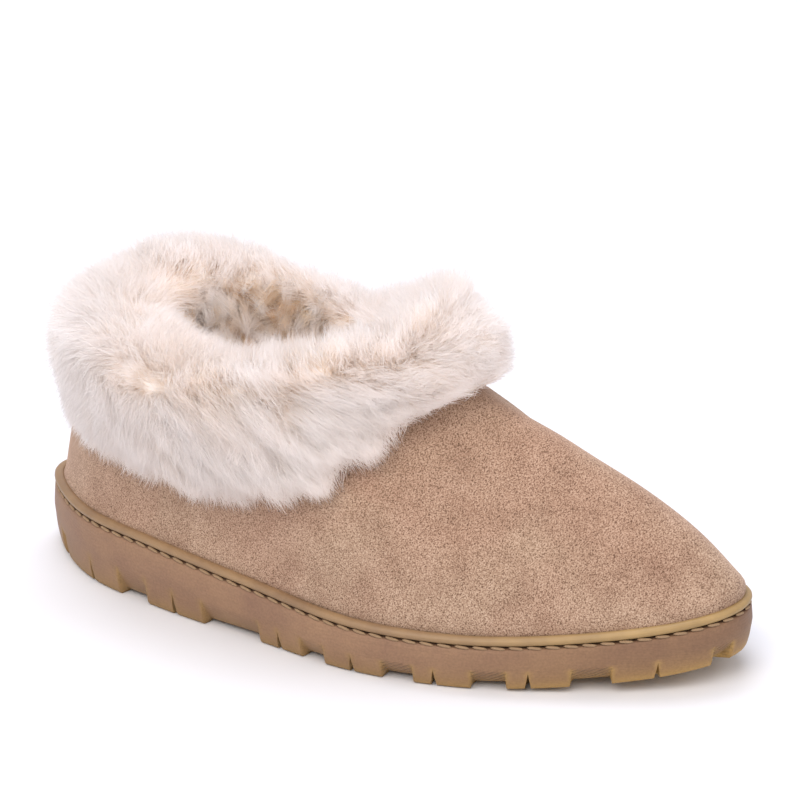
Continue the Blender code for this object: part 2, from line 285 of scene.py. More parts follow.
def side_turn(distance, side):
    """Turn at a distance from the heel, along the outer side (1) or the inner (-1)."""
    scale = side_run[side][-1] / SIDE_LENGTH
    return np.interp(np.asarray(distance) * scale, side_run[side], np.pi - side * half_round)


print("outer edge from heel to toe, in mm:", round(SIDE_LENGTH, 1))

# %% [markdown]
# The upper is one sheet of suede pulled over the last. Round the shoe it starts behind the welt and ends at
# an oval collar. In each section it is part of a rounded square, so two powers set how it rounds over.

# %% The last: upper and collar
GAP = 0.3
WELT_WIDTH = 3.2
WALL_THICK = 2.0
SWING = np.radians(65.0)
COLLAR_X, COLLAR_Y = 85.0, -3.0
COLLAR_HALF_LENGTH, COLLAR_HALF_WIDTH = 65.5, 33.0
COLLAR_HEIGHT, COLLAR_RISE, COLLAR_DIP, COLLAR_TILT = 87.0, 1.5, 3.5, 3.5
ROUND = table(
    "turn over rise hem deep",
    (0.0, 0.64, 2.05, 0.88, 1.55),
    (35.0, 0.64, 1.72, 0.87, 1.50),
    (60.0, 1.07, 1.87, 0.83, 1.35),
    (80.0, 1.49, 1.92, 0.70, 1.10),
    (100.0, 1.50, 1.80, 0.56, 1.00),
    (130.0, 1.15, 1.45, 0.50, 1.00),
    (180.0, 0.80, 1.15, 0.54, 0.90),
)


def fold(turn):
    """Angle from the toe in degrees, the same on both sides."""
    turn = np.mod(turn, 2.0 * np.pi)
    return np.degrees(np.minimum(turn, 2.0 * np.pi - turn))


def collar(turn):
    """The collar: an oval whose height rises at the throat and the heel and tilts to the inner side."""
    x = COLLAR_X + COLLAR_HALF_LENGTH * np.cos(turn)
    y = COLLAR_Y - COLLAR_HALF_WIDTH * np.sin(turn)
    z = COLLAR_HEIGHT + COLLAR_RISE * np.cos(turn) + COLLAR_DIP * np.cos(2.0 * turn)
    return np.stack([x, y, z - COLLAR_TILT * np.sin(turn)], -1)


def upper(turn, up):
    """The suede's outer face: from its foot to the collar by a power of the cosine across and a power of
    the sine upwards, where up is 0 at the welt and 1 at the collar."""
    foot = solid(beside(turn, -WELT_WIDTH - GAP), groove(share(turn)) + GAP)
    over_power = 2.0 / along(ROUND, "over", "turn", fold(turn))
    rise_power = 2.0 / along(ROUND, "rise", "turn", fold(turn))
    over = (1.0 - np.cos(SWING * up) ** over_power) / (1.0 - np.cos(SWING) ** over_power)
    rise = (np.sin(SWING * up) / np.sin(SWING)) ** rise_power
    return foot + (collar(turn) - foot) * np.stack([over, over, rise], -1)


def wall_frame(turn, up, step=1e-3):
    """Unit vectors out of the suede and up it: small steps both ways and their cross product."""
    a = np.clip(up - step, step, 1.0 - 2.0 * step)
    rise = upper(turn, a + step) - upper(turn, a)
    out = np.cross(rise, upper(turn + step, a) - upper(turn - step, a))
    out /= np.linalg.norm(out, axis=-1, keepdims=True)
    return out, rise / np.linalg.norm(rise, axis=-1, keepdims=True)


def off_wall(turn, up, out):
    """A point moved straight off the suede."""
    return upper(turn, up) + wall_frame(turn, up)[0] * np.asarray(out)[..., None]


def wall_share(turn, high):
    """The wall's own measure at a share of its height: the rise formula undone."""
    power = along(ROUND, "rise", "turn", fold(turn)) / 2.0
    return np.arcsin(np.clip(high, 0.0, 1.0) ** power * np.sin(SWING)) / SWING


ring = place(upper(np.linspace(0.0, 2.0 * np.pi, 721), np.zeros(721))) / MM

# %% [markdown]
# A mesh comes from a grid of points. A ring of columns closes on itself, and a body that is not a tube is
# closed by faces straight across the shoe. One function puts the arrays into a mesh, shades it smooth, hangs
# it on the frame's one body and gives it its material.

# %% Helpers for meshes
def grid_faces(rows, columns, closed):
    """Corner numbers of the squares of a grid whose columns close on themselves. Closed rows do too."""
    i, k = np.meshgrid(np.arange(rows if closed else rows - 1), np.arange(columns), indexing="ij")
    j, m = (i + 1) % rows, (k + 1) % columns
    return np.stack([i * columns + k, j * columns + k, j * columns + m, i * columns + m], -1).reshape(-1, 4)


def across(rows, columns):
    """Faces that close a grid's first and last row, whose rings run down one side of the shoe and back up
    the other: squares that join each column to its fellow across, and a triangle at each end."""
    k, half, last = np.arange(1, columns // 2 - 1), columns // 2, (rows - 1) * columns
    squares = np.stack([k, k + 1, columns - k - 1, columns - k], -1)
    ends = np.array([[0, 1, columns - 1], [half - 1, half, half + 1]])
    return [squares, ends, last + squares[:, ::-1], last + ends[:, ::-1]]


def piece(name, points, faces, finish, replaces=(), uv=None, values=None):
    """A mesh object from points in millimetres and squares or triangles. uv is a value pair for each point,
    and values are named numbers for each point."""
    mesh = bpy.data.meshes.new(name)
    faces = [np.asarray(f) for f in (faces if isinstance(faces, list) else [faces])]
    sizes = np.concatenate([np.full(len(f), f.shape[1]) for f in faces])
    loops = np.concatenate([f.ravel() for f in faces])
    mesh.vertices.add(len(points))
    mesh.vertices.foreach_set("co", place(points).astype(np.float32).ravel())
    mesh.loops.add(len(loops))
    mesh.loops.foreach_set("vertex_index", loops.astype(np.int32))
    mesh.polygons.add(len(sizes))
    mesh.polygons.foreach_set("loop_start", (np.cumsum(sizes) - sizes).astype(np.int32))
    mesh.polygons.foreach_set("use_smooth", np.ones(len(sizes), bool))
    for label, pairs in (uv or {}).items():
        layer = mesh.uv_layers.new(name=label)
        layer.data.foreach_set("uv", pairs[loops].astype(np.float32).ravel())
    for label, numbers in (values or {}).items():
        attribute = mesh.attributes.new(label, "FLOAT", "POINT")
        attribute.data.foreach_set("value", np.asarray(numbers, np.float32).ravel())
    mesh.update(calc_edges=True)
    mesh.validate()
    mesh.materials.append(finish)
    made = bpy.data.objects.new(name, mesh)
    bpy.context.scene.collection.objects.link(made)
    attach(made, "root")
    if replaces:
        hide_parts(*replaces)
    mesh.calc_loop_triangles()
    print(name, "triangles:", len(mesh.loop_triangles))
    return made


print("squares of a tube with 3 rows and 4 columns:", len(grid_faces(3, 4, False)))

# %% [markdown]
# Gum rubber is a moulded, slightly cloudy rubber. The side of this sole is pinkish brown and satin, and it
# turns yellow and a little clearer towards the thin edges of its lugs, most of all at the toe. The mould
# leaves fine level hatching on the side, and slanting ribs in the spaces between the lugs of the front half.
# Both are less than half a millimetre high, so they are bump, drawn along the side by the piece's own map.

# %% Gum rubber
CLOUD_MM, SPECK_MM = 14.0, 0.8
HATCH_MM, RIB_MM = 1.0, 1.35
HATCH_SLANT, RIB_SLANT = np.radians(2.0), np.radians(-30.0)


def bands(millimetres):
    """Scale of a wave texture whose bands lie this far apart: it draws a sine of 20 times the scale."""
    return per_metre(millimetres) * 2.0 * np.pi / 20.0


def gum_rubber():
    made, tree, shader = material("moulded_gum_rubber")
    side = add(tree, "UVMap", uv_map="side").outputs["UV"]
    where = add(tree, "TexCoord").outputs["Object"]
    down, recess, toe, rim = (add(tree, "Attribute", attribute_name=name).outputs["Fac"]
                              for name in ("down", "recess", "toe", "rim"))
    cloud, speck = (add(tree, "TexNoise", ("Vector", where), ("Scale", per_metre(size)),
                        ("Detail", detail)).outputs["Fac"]
                    for size, detail in ((CLOUD_MM, 3.0), (SPECK_MM, 2.0)))
    # The wall: cloudy brown, a little darker at the toe.
    wall = add(tree, "ValToRGB", ("Fac", cloud), stops=((0.3, "#876752"), (0.7, "#97765b"))).outputs["Color"]
    dark = add(tree, "Mix", ("Factor", 1.0), (6, wall), (7, "#e6e2dc"), **MULTIPLIED).outputs[2]
    wall = add(tree, "Mix", ("Factor", toe), (6, wall), (7, dark), **MIXED).outputs[2]
    # Thin edges: yellow, more so at the toe. A painted shadow of the groove lies along the top, as a dark
    # band.
    thin = add(tree, "Mix", ("Factor", toe), (6, "#97784a"), (7, "#b28e52"), **MIXED).outputs[2]
    body = add(tree, "Mix", ("Factor", rim), (6, wall), (7, thin), **MIXED).outputs[2]
    groove_shadow = add(tree, "MapRange", ("Value", down), ("From Min", 0.0), ("From Max", 0.03)).outputs["Result"]
    body = add(tree, "Mix", ("Factor", groove_shadow), (6, "#4c382a"), (7, body), **MIXED).outputs[2]
    grain = add(tree, "MapRange", ("Value", speck), ("From Min", 0.3), ("From Max", 0.7), ("To Min", 0.9),
                ("To Max", 1.08)).outputs["Result"]
    body = add(tree, "Mix", ("Factor", 1.0), (6, body), (7, grain), **MULTIPLIED).outputs[2]
    # Relief: hatching, ribs where there is a space, and the rubber's own grain.
    hatch_at = add(tree, "Mapping", ("Vector", side),
                   ("Rotation", (0.0, 0.0, HATCH_SLANT))).outputs["Vector"]
    hatch = add(tree, "TexWave", ("Vector", hatch_at), ("Scale", bands(HATCH_MM)), ("Distortion", 3.0),
                ("Detail", 2.0), ("Detail Scale", 1.5), bands_direction="Y").outputs["Fac"]
    rib_at = add(tree, "Mapping", ("Vector", side), ("Rotation", (0.0, 0.0, RIB_SLANT))).outputs["Vector"]
    ribs = add(tree, "TexWave", ("Vector", rib_at), ("Scale", bands(RIB_MM)),
               bands_direction="Y").outputs["Fac"]
    ribbed = add(tree, "Math", (0, ribs), (1, recess), operation="MULTIPLY").outputs["Value"]
    skin = add(tree, "Bump", ("Height", hatch), ("Strength", 0.5), ("Distance", 0.07 * MM)).outputs["Normal"]
    for height, strength, distance in ((ribbed, 1.0, 0.45 * MM), (speck, 0.3, 0.1 * MM)):
        skin = add(tree, "Bump", ("Height", height), ("Strength", strength), ("Distance", distance),
                   ("Normal", skin)).outputs["Normal"]
    satin = add(tree, "MapRange", ("Value", cloud), ("To Min", 0.5), ("To Max", 0.66)).outputs["Result"]
    feed(tree, shader, ("Base Color", body), ("Roughness", satin), ("Normal", skin), ("IOR", 1.5),
         ("Specular IOR Level", 0.35))
    return made


gum = gum_rubber()
print("sole material:", gum.name)

# %% [markdown]
# The sole is one surface from the stitch groove down its side, round the lower edge and in under the foot.
# Two profiles share its rows: that of a lug, which goes down to the floor, and that of a space between
# lugs, which slants in and up into a shallow tread channel. A share that steps from 1 to 0 at each lug's
# corner chooses between them. A slit lifts a lug's lower edge in a V.

# %% Outsole
WALL = table(
    "down bulge taper",
    (0.000, -2.2, 0.00),
    (0.010, -1.2, 0.00),
    (0.035, -0.3, 0.00),
    (0.080, 0.1, 0.00),
    (0.350, 0.6, 0.10),
    (0.700, 0.4, 0.50),
    (0.930, 0.0, 0.95),
    (0.975, -0.3, 1.00),
    (1.000, -0.9, 1.00),
)
HEEL_TAPER, TOE_TAPER = 1.4, 1.0
LUGS = table(
    "start slit stop",
    (30.5, 52.6, 68.3),
    (81.4, 94.5, 107.8),
    (132.1, 140.8, 150.7),
    (160.0, 170.9, 182.2),
    (192.8, 200.0, 212.6),
    (223.9, 231.2, 245.1),
    (258.2, 273.2, 292.3),
)
HEEL_LUG_STOP, TOE_LUG_START = 25.5, 300.2
RECESS_SHARE, RECESS_DEPTH = 0.50, 5.0
TREAD_DEPTH, TREAD_REACH = 1.5, 26.0
SLIT_WIDTH, SLIT_SHARE, SLIT_REACH = 2.0, 0.42, 20.0
CORNER = 0.6  # width of the step from a lug into a space
COLUMN_STEP = 1.0
RIM_BELOW, RIM_BESIDE = 3.0, 1.5  # how far the yellow of a lug's edge goes in
RIB_START = 0.5  # spaces behind this share of the length are plain
STEP_IN = 0.4  # a channel's end slopes over this length
SPINE_START, SPINE_STOP = 45.0, 215.0  # the line along the shoe's middle where both sides meet


def side_columns():
    """Distances from the heel with a column on both sides of each corner and at each slit."""
    corners = np.concatenate([LUGS["start"], LUGS["stop"], [HEEL_LUG_STOP, TOE_LUG_START]])
    marks = [corners + CORNER * k for k in (-0.5, 0.0, 0.5)]
    marks += [LUGS["slit"] + SLIT_WIDTH * k for k in (-0.5, -0.25, 0.0, 0.25, 0.5)]
    marks = np.concatenate(marks)
    even = np.linspace(0.0, SIDE_LENGTH, int(SIDE_LENGTH / COLUMN_STEP))
    clear = np.abs(even[:, None] - marks[None, :]).min(axis=1) > 0.3 * COLUMN_STEP
    return np.unique(np.concatenate([even[clear], marks, [0.0, SIDE_LENGTH]]))


def lug_share(distance):
    """1 on a lug and 0 in a space, with a short slope at each corner."""
    starts, stops = np.append(LUGS["start"], TOE_LUG_START), np.insert(LUGS["stop"], 0, HEEL_LUG_STOP)
    half = 0.5 * CORNER
    places = np.stack([stops - half, stops + half, starts - half, starts + half], -1).ravel()
    return np.interp(distance, places, np.tile([1.0, 0.0, 0.0, 1.0], len(starts)))


def slit_share(distance):
    """1 in the middle of a slit, sloping to 0 at its sides."""
    half = 0.5 * SLIT_WIDTH
    places = np.stack([LUGS["slit"] - half, LUGS["slit"], LUGS["slit"] + half], -1).ravel()
    return np.interp(distance, places, np.tile([0.0, 1.0, 0.0], len(LUGS["slit"])))


def outsole_surface():
    """Rows from the groove to the middle of the underside. A side row lies at a share of the height, moved
    out by the wall's bulge. An under row lies on a line from the edge to the shoe's spine."""
    distance = side_columns()
    turn = np.concatenate([side_turn(distance, 1), side_turn(distance[-2:0:-1], -1)])[None, :]
    distance = np.concatenate([distance, distance[-2:0:-1]])[None, :]
    t = share(turn)
    tall = groove(t) - lift(t)
    taper = HEEL_TAPER + (TOE_TAPER - HEEL_TAPER) * ease(t)
    lug, slit = lug_share(distance), slit_share(distance)

    def wall_out(down):
        bulge, drawn_in = (np.interp(down, WALL["down"], WALL[name]) for name in ("bulge", "taper"))
        return bulge - drawn_in * taper

    down = np.array([0, 0.01, 0.02, 0.035, 0.055, 0.08, 0.13, 0.2, 0.28, 0.36, 0.43, 0.48])[:, None]
    top = 1.0 - down + 0.0 * t
    top_out = wall_out(1.0 - top)
    q = np.array([0.0, 0.06, 0.2, 0.35, 0.5, 0.65, 0.78, 0.88, 0.94, 0.975, 1.0])[:, None]
    bottom = slit * SLIT_SHARE
    lug_high = RECESS_SHARE + (bottom - RECESS_SHARE) * q
    space_high = RECESS_SHARE + (TREAD_DEPTH / tall - RECESS_SHARE) * q
    start_out = wall_out(RECESS_SHARE + 0.0 * t)
    space_out = start_out + (STEP_IN - RECESS_DEPTH - start_out) * q**1.5
    low = lug * lug_high + (1.0 - lug) * space_high
    low_out = lug * wall_out(1.0 - lug_high) + (1.0 - lug) * space_out
    high_share = np.concatenate([top, low])
    side = solid(beside(turn, np.concatenate([top_out, low_out])), lift(t) + tall * high_share)

    inward = np.array([0.0, 7.0, SLIT_REACH, SLIT_REACH + STEP_IN, TREAD_REACH, TREAD_REACH + STEP_IN])
    inward = (inward - RECESS_DEPTH).clip(0.0)[:, None]
    first = beside(turn, -RECESS_DEPTH)
    spine_x = np.clip(first[..., 0], SPINE_START, SPINE_STOP)
    spine = np.stack([spine_x, HEEL_SHIFT + (TOE_SHIFT - HEEL_SHIFT) * spine_x / LENGTH], -1)
    way = spine - first
    along_way = inward / np.maximum(np.linalg.norm(way, axis=-1), TREAD_REACH + 4.0)
    plan = first + way * along_way[..., None]
    slit_on = (inward <= SLIT_REACH - RECESS_DEPTH) * bottom * tall * lug
    space_on = (inward <= TREAD_REACH - RECESS_DEPTH) * TREAD_DEPTH * (1.0 - lug)
    under = solid(plan, lift(plan[..., 0] / LENGTH) + slit_on + space_on)
    rows = np.concatenate([side, under])
    flat = np.zeros(under.shape[:2])
    ribbed = (1.0 - lug) * ease((t - RIB_START) / 0.1)
    recess = np.concatenate([0.0 * top, ribbed * np.clip(8.0 * q, 0.0, 1.0), flat])
    shade = np.concatenate([1.0 - top, np.maximum(1.0 - low, 0.0), flat + 1.0])
    toe = np.broadcast_to(ease((t - 0.55) / 0.4), rows.shape[:2])
    ends = np.concatenate([LUGS["start"], LUGS["slit"], LUGS["stop"], [HEEL_LUG_STOP, TOE_LUG_START]])
    from_end = np.abs(distance[..., None] - ends).min(axis=-1)
    beside_end = np.exp(-from_end / RIM_BESIDE) * ease((shade - 0.45) / 0.15)
    rim = np.maximum(np.exp(-(1.0 - shade) * tall / RIM_BELOW), 0.8 * beside_end)
    chart = np.stack(np.broadcast_arrays(distance * MM, rows[..., 2] * MM), -1)
    return rows, {"recess": recess, "down": shade, "toe": toe, "rim": rim}, chart


rows, values, chart = outsole_surface()
count, columns = rows.shape[:2]
faces = [grid_faces(count, columns, False), *across(count, columns)]
piece("outsole_rubber", rows.reshape(-1, 3), faces, gum, ["outsole"],
      {"side": chart.reshape(-1, 2)}, values)

# %% [markdown]
# The welt is a rubber bead that hides the seam between suede and sole. It is the same rubber as the sole,
# tanner and smoother, with a soft shine along its round back. A row of thread lies in the groove under it.

# %% Welt
WELT = table(
    "out up",
    (-3.2, 0.30),
    (-2.2, 0.30),
    (-1.3, 0.45),
    (-0.6, 0.80),
    (-0.1, 1.30),
    (0.15, 1.90),
    (0.10, 2.45),
    (-0.3, 2.95),
    (-1.0, 3.30),
    (-1.9, 3.42),
    (-2.7, 3.38),
    (-3.2, 3.10),
)
WELT_COLUMNS = 640
WELT_CLOUD_MM, WELT_SKIN_MM = 9.0, 0.6


def welt_rubber():
    made, tree, shader = material("smooth_welt_rubber")
    where = add(tree, "TexCoord").outputs["Object"]
    toe = add(tree, "Attribute", attribute_name="toe").outputs["Fac"]
    cloud, fine = (add(tree, "TexNoise", ("Vector", where), ("Scale", per_metre(size)),
                       ("Detail", detail)).outputs["Fac"]
                   for size, detail in ((WELT_CLOUD_MM, 3.0), (WELT_SKIN_MM, 2.0)))
    tan, gold = (add(tree, "ValToRGB", ("Fac", cloud), stops=stops).outputs["Color"]
                 for stops in (((0.3, "#876b4f"), (0.7, "#997b59")), ((0.3, "#967a4f"), (0.7, "#a88a5a"))))
    body = add(tree, "Mix", ("Factor", toe), (6, tan), (7, gold), **MIXED).outputs[2]
    skin = add(tree, "Bump", ("Height", fine), ("Strength", 0.25), ("Distance", 0.08 * MM)).outputs["Normal"]
    satin = add(tree, "MapRange", ("Value", cloud), ("To Min", 0.4), ("To Max", 0.55)).outputs["Result"]
    feed(tree, shader, ("Base Color", body), ("Roughness", satin), ("Normal", skin), ("IOR", 1.5),
         ("Specular IOR Level", 0.45))
    return made


turn = np.linspace(0.0, 2.0 * np.pi, WELT_COLUMNS, endpoint=False)[None, :]
rows = solid(beside(turn, WELT["out"][:, None] + 0.0 * turn), groove(share(turn)) + WELT["up"][:, None])
toe = np.broadcast_to(ease((share(turn) - 0.6) / 0.35), rows.shape[:2])
piece("welt_bead", rows.reshape(-1, 3), grid_faces(len(rows), WELT_COLUMNS, True), welt_rubber(),
      ["welt"], None, {"toe": toe})

# %% [markdown]
# The stitches are thick twisted thread, about six millimetres from hole to hole, each one a short spindle
# that slants a little where it dips into the rubber. They are one joined mesh: the same spindle laid at
# each place along the groove.

# %% Stitches
STITCH_PITCH, STITCH_LENGTH, STITCH_THICK = 5.8, 4.9, 1.05
STITCH_OUT, STITCH_UP, STITCH_SLANT = -0.45, 0.05, 0.32
STITCH_STATIONS, STITCH_SIDES = 7, 8
PLY_SLANT = np.radians(35.0)


def thread():
    made, tree, shader = material("twisted_tan_thread")
    laid = add(tree, "UVMap", uv_map="laid").outputs["UV"]
    turned = add(tree, "Mapping", ("Vector", laid), ("Rotation", (0.0, 0.0, PLY_SLANT))).outputs["Vector"]
    plies = add(tree, "TexWave", ("Vector", turned), ("Scale", 1.6)).outputs["Fac"]
    body = add(tree, "ValToRGB", ("Fac", plies), stops=((0.1, "#8b6f52"), (0.8, "#b09270"))).outputs["Color"]
    skin = add(tree, "Bump", ("Height", plies), ("Strength", 0.6), ("Distance", 0.15 * MM)).outputs["Normal"]
    feed(tree, shader, ("Base Color", body), ("Roughness", 0.75), ("Normal", skin))
    return made


def stitch_run():
    """Spindles: a middle line along the groove, and round it a circle whose radius is the root of one less
    the fourth power of the way from the middle."""
    line = []
    for way in (1, -1):
        count = int(SIDE_LENGTH / STITCH_PITCH)
        middle = (np.arange(count) + 0.5) * SIDE_LENGTH / count
        s = np.linspace(-1.0, 1.0, STITCH_STATIONS)
        turn = side_turn(middle[:, None] + way * s * 0.5 * STITCH_LENGTH, way)
        high = groove(share(turn)) + STITCH_UP - STITCH_SLANT * s
        line.append((turn, high))
    turn, high = (np.concatenate(part) for part in zip(*line))
    centre = solid(beside(turn, STITCH_OUT), high)
    out = solid(outward(turn), 0.0 * turn)
    radius = 0.5 * STITCH_THICK * np.sqrt(1.02 - np.linspace(-1.0, 1.0, STITCH_STATIONS) ** 4)
    angle = np.arange(STITCH_SIDES) * 2.0 * np.pi / STITCH_SIDES
    ring = out[..., None, :] * np.cos(angle)[:, None] + np.array([0.0, 0.0, 1.0]) * np.sin(angle)[:, None]
    return centre[..., None, :] + ring * radius[:, None, None]


spindles = stitch_run()
count = len(spindles)
one = grid_faces(STITCH_STATIONS, STITCH_SIDES, False)
caps = np.arange(STITCH_SIDES)
caps = np.stack([caps, (STITCH_STATIONS - 1) * STITCH_SIDES + caps[::-1]])
starts = (np.arange(count) * STITCH_STATIONS * STITCH_SIDES)[:, None, None]
laid = np.meshgrid(np.linspace(0, 4, STITCH_STATIONS), np.linspace(0, 1, STITCH_SIDES), indexing="ij")
laid = np.tile(np.stack(laid, -1).reshape(-1, 2), (count, 1))
faces = [(one + starts).reshape(-1, 4), (caps + starts).reshape(-1, STITCH_SIDES)]
piece("welt_stitches", spindles.reshape(-1, 3), faces, thread(), (), {"laid": laid})
print("stitches:", count)

# %% [markdown]
# The suede is a brushed microfibre. Its short nap lies in patches that were stroked different ways, so it
# is mottled light and dark over a few centimetres, and close up it is a grain of bright fibre ends and dark
# gaps. It has no gloss, but the fibre ends catch light at a grazing angle, which is sheen.

# %% Suede
NAP_MM = 0.43  # fibre bundles are finer, drawn this wide so that they show
PATCH_MM = 11.0
STROKE_MM = 38.0


def brushed_suede():
    made, tree, shader = material("brushed_tan_suede")
    where = add(tree, "TexCoord").outputs["Object"]
    stroke = add(tree, "TexNoise", ("Vector", where), ("Scale", per_metre(STROKE_MM)), ("Detail", 2.0),
                 ("Distortion", 0.6)).outputs["Fac"]
    patch = add(tree, "TexNoise", ("Vector", where), ("Scale", per_metre(PATCH_MM)),
                ("Detail", 4.0)).outputs["Fac"]
    leaning = add(tree, "Mapping", ("Vector", where), ("Rotation", (0.5, 0.6, 0.4)),
                  ("Scale", (1.0, 0.6, 1.0))).outputs["Vector"]
    nap = add(tree, "TexNoise", ("Vector", leaning), ("Scale", per_metre(NAP_MM)), ("Detail", 3.0),
              ("Roughness", 0.65)).outputs["Fac"]
    tan, shade, grain = (add(tree, "ValToRGB", ("Fac", value), stops=stops).outputs["Color"]
                         for value, stops in (
                             (stroke, ((0.35, "#c3a590"), (0.65, "#cbb29c"))),
                             (patch, ((0.3, "#e6e1de"), (0.5, "#f6f4f2"), (0.72, "#ffffff"))),
                             (nap, ((0.34, "#7d6e65"), (0.5, "#dcd2cb"), (0.64, "#ffffff")))))
    body = add(tree, "Mix", ("Factor", 1.0), (6, tan), (7, shade), **MULTIPLIED).outputs[2]
    body = add(tree, "Mix", ("Factor", 1.0), (6, body), (7, grain), **MULTIPLIED).outputs[2]
    fuzz = add(tree, "Bump", ("Height", nap), ("Strength", 0.55), ("Distance", 0.35 * MM)).outputs["Normal"]
    feed(tree, shader, ("Base Color", body), ("Roughness", 0.95), ("Normal", fuzz),
         ("Specular IOR Level", 0.15), ("Sheen Weight", 0.4), ("Sheen Roughness", 0.45),
         ("Sheen Tint", "#ffe3d0"))
    return made


print("suede nap drawn at", NAP_MM, "mm")

# %% [markdown]
# Over the last's plain form the suede has what hands and stuffing leave: a tuck where it goes in behind the
# welt, a fullness just above it that is stronger at the toe, and a few soft troughs where a foot would bend
# it. Each trough has its own row: where it crosses the ridge, how it slants, how wide and deep it is, and
# how far it reaches to the sides.

# %% Upper
UPPER_COLUMNS, UPPER_ROWS, INSIDE_ROWS = 540, 44, 14
TUCK, FULLNESS, TOE_FULLNESS = (-0.3, 0.0, 0.03), (0.8, 0.09, 0.07), (1.7, 0.055, 0.045)  # see `swell`
TOE_START, TOE_WIDTH = 225.0, 35.0
TROUGHS = table(
    "x slant width depth reach",
    (168.0, 0.35, 9.0, 0.7, 46.0),
    (186.0, -0.20, 8.0, 0.5, 34.0),
    (204.0, 0.15, 11.0, 0.4, 40.0),
    (118.0, 0.55, 12.0, 0.6, 60.0),
    (52.0, -0.45, 9.0, 0.6, 60.0),
)


def swell(up, height, middle, width):
    """A bell up the wall: its height, where its middle is and how wide it is."""
    return height * np.exp(-(((up - middle) / width) ** 2))


def relief(points, up):
    """How far the suede stands off the last: the fullness and the tuck near its foot, and at the toe one
    more fullness, less each trough, a bell across its line that fades along it."""
    x, y = points[..., 0, None], points[..., 1, None] - COLLAR_Y
    cross = x - TROUGHS["x"] - TROUGHS["slant"] * np.abs(y)
    bell = np.exp(-((cross / TROUGHS["width"]) ** 2) - (y / TROUGHS["reach"]) ** 2)
    foot = swell(up, *FULLNESS) + swell(up, *TUCK)
    toe = ease((points[..., 0] - TOE_START) / TOE_WIDTH) * swell(up, *TOE_FULLNESS)
    return foot + toe - (TROUGHS["depth"] * bell).sum(axis=-1)


turn = np.linspace(0.0, 2.0 * np.pi, UPPER_COLUMNS, endpoint=False)[None, :]
up = np.linspace(0.0, 1.0, UPPER_ROWS)[:, None] ** 1.25 + 0.0 * turn
outside = off_wall(turn + 0.0 * up, up, relief(upper(turn, up), up))
up = np.linspace(1.0, 0.0, INSIDE_ROWS)[:, None] + 0.0 * turn
inside = off_wall(turn + 0.0 * up, up, np.full(up.shape, -WALL_THICK))
rows = np.concatenate([outside, inside])
piece("suede_upper", rows.reshape(-1, 3), grid_faces(len(rows), UPPER_COLUMNS, True), brushed_suede(),
      ["upper"])

# %% [markdown]
# Inside lies a memory foam insole under short fleece. It is a low cushion with a round edge and a crown,
# and the fleece is matted into small tufts, so its top is lumpy on the scale of a few millimetres.

# %% Fleece
TUFT_MM = 3.5


def matted_fleece():
    made, tree, shader = material("matted_cream_fleece")
    where = add(tree, "TexCoord").outputs["Object"]
    tufts = add(tree, "TexNoise", ("Vector", where), ("Scale", per_metre(TUFT_MM)), ("Detail", 5.0),
                ("Roughness", 0.7), ("Distortion", 1.0)).outputs["Fac"]
    body = add(tree, "ValToRGB", ("Fac", tufts),
               stops=((0.3, "#c4ad92"), (0.55, "#e6d9c7"), (0.75, "#f3ebe0"))).outputs["Color"]
    fuzz = add(tree, "Bump", ("Height", tufts), ("Strength", 0.8), ("Distance", 1.2 * MM)).outputs["Normal"]
    feed(tree, shader, ("Base Color", body), ("Roughness", 1.0), ("Normal", fuzz),
         ("Specular IOR Level", 0.1), ("Sheen Weight", 0.2))
    return made


WAVES = 14


def tufted(points, spacing, seed):
    """Lumps of about -1 to 1: sine waves in scattered directions, added up over the root of their number."""
    draw = np.random.default_rng(seed)
    ways = draw.normal(size=(WAVES, 3))
    ways *= 2.0 * np.pi / (spacing * np.linalg.norm(ways, axis=1, keepdims=True))
    lumps = np.sin(points @ ways.T + draw.uniform(0.0, 2.0 * np.pi, WAVES))
    return lumps.sum(axis=-1) / np.sqrt(WAVES)


fleece = matted_fleece()
print("fleece material:", fleece.name)

# %% Insole
INSOLE_THICK = 7.0
INSOLE_CLEAR = 0.5
INSOLE_COLUMNS = 240
INSOLE_TUFTS, INSOLE_CROWN = 0.35, 0.4
INSOLE_SPINE_SHARE = 0.92


def insole_surface():
    """Rings from the lower edge up the round side and in to the spine. The plan is the upper's inner face
    at that height, drawn in towards the spine by a share."""
    turn = np.linspace(0.0, 2.0 * np.pi, INSOLE_COLUMNS, endpoint=False)[None, :]
    t = share(turn)
    tall = collar(turn)[..., 2] - groove(t) - GAP
    part = np.array([0.0, 0.35, 0.6, 0.8, 0.93, 1.0])[:, None]
    inset = np.array([0.0, 0.1, 0.4, 1.0, 2.0, 3.6])[:, None]
    up = np.maximum(wall_share(turn, INSOLE_THICK * part / tall), 1e-3)
    wall = off_wall(turn + 0.0 * up, up, -WALL_THICK - INSOLE_CLEAR - inset + 0.0 * up)[..., :2]
    spine_x = np.clip(wall[-1, :, 0], SPINE_START, SPINE_STOP)
    spine = np.stack([spine_x, HEEL_SHIFT + (TOE_SHIFT - HEEL_SHIFT) * spine_x / LENGTH], -1)
    q = np.linspace(0.0, INSOLE_SPINE_SHARE, 14)[1:, None]
    top = wall[-1] + (spine - wall[-1]) * q[..., None]
    side_high = (INSOLE_THICK - INSOLE_CROWN) * part + 0.0 * t
    crown = INSOLE_THICK - INSOLE_CROWN * (1.0 - q**2) + 0.0 * t
    plan = np.concatenate([wall, top])
    base = groove(plan[..., 0] / LENGTH) + GAP
    points = solid(plan, base + np.concatenate([side_high, crown]))
    lumps = INSOLE_TUFTS * (tufted(points, 5.0, 3) - 1.5).clip(-2.0, 0.0)
    points[..., 2] += lumps * np.concatenate([part, 0.0 * q + 1.0])
    return points


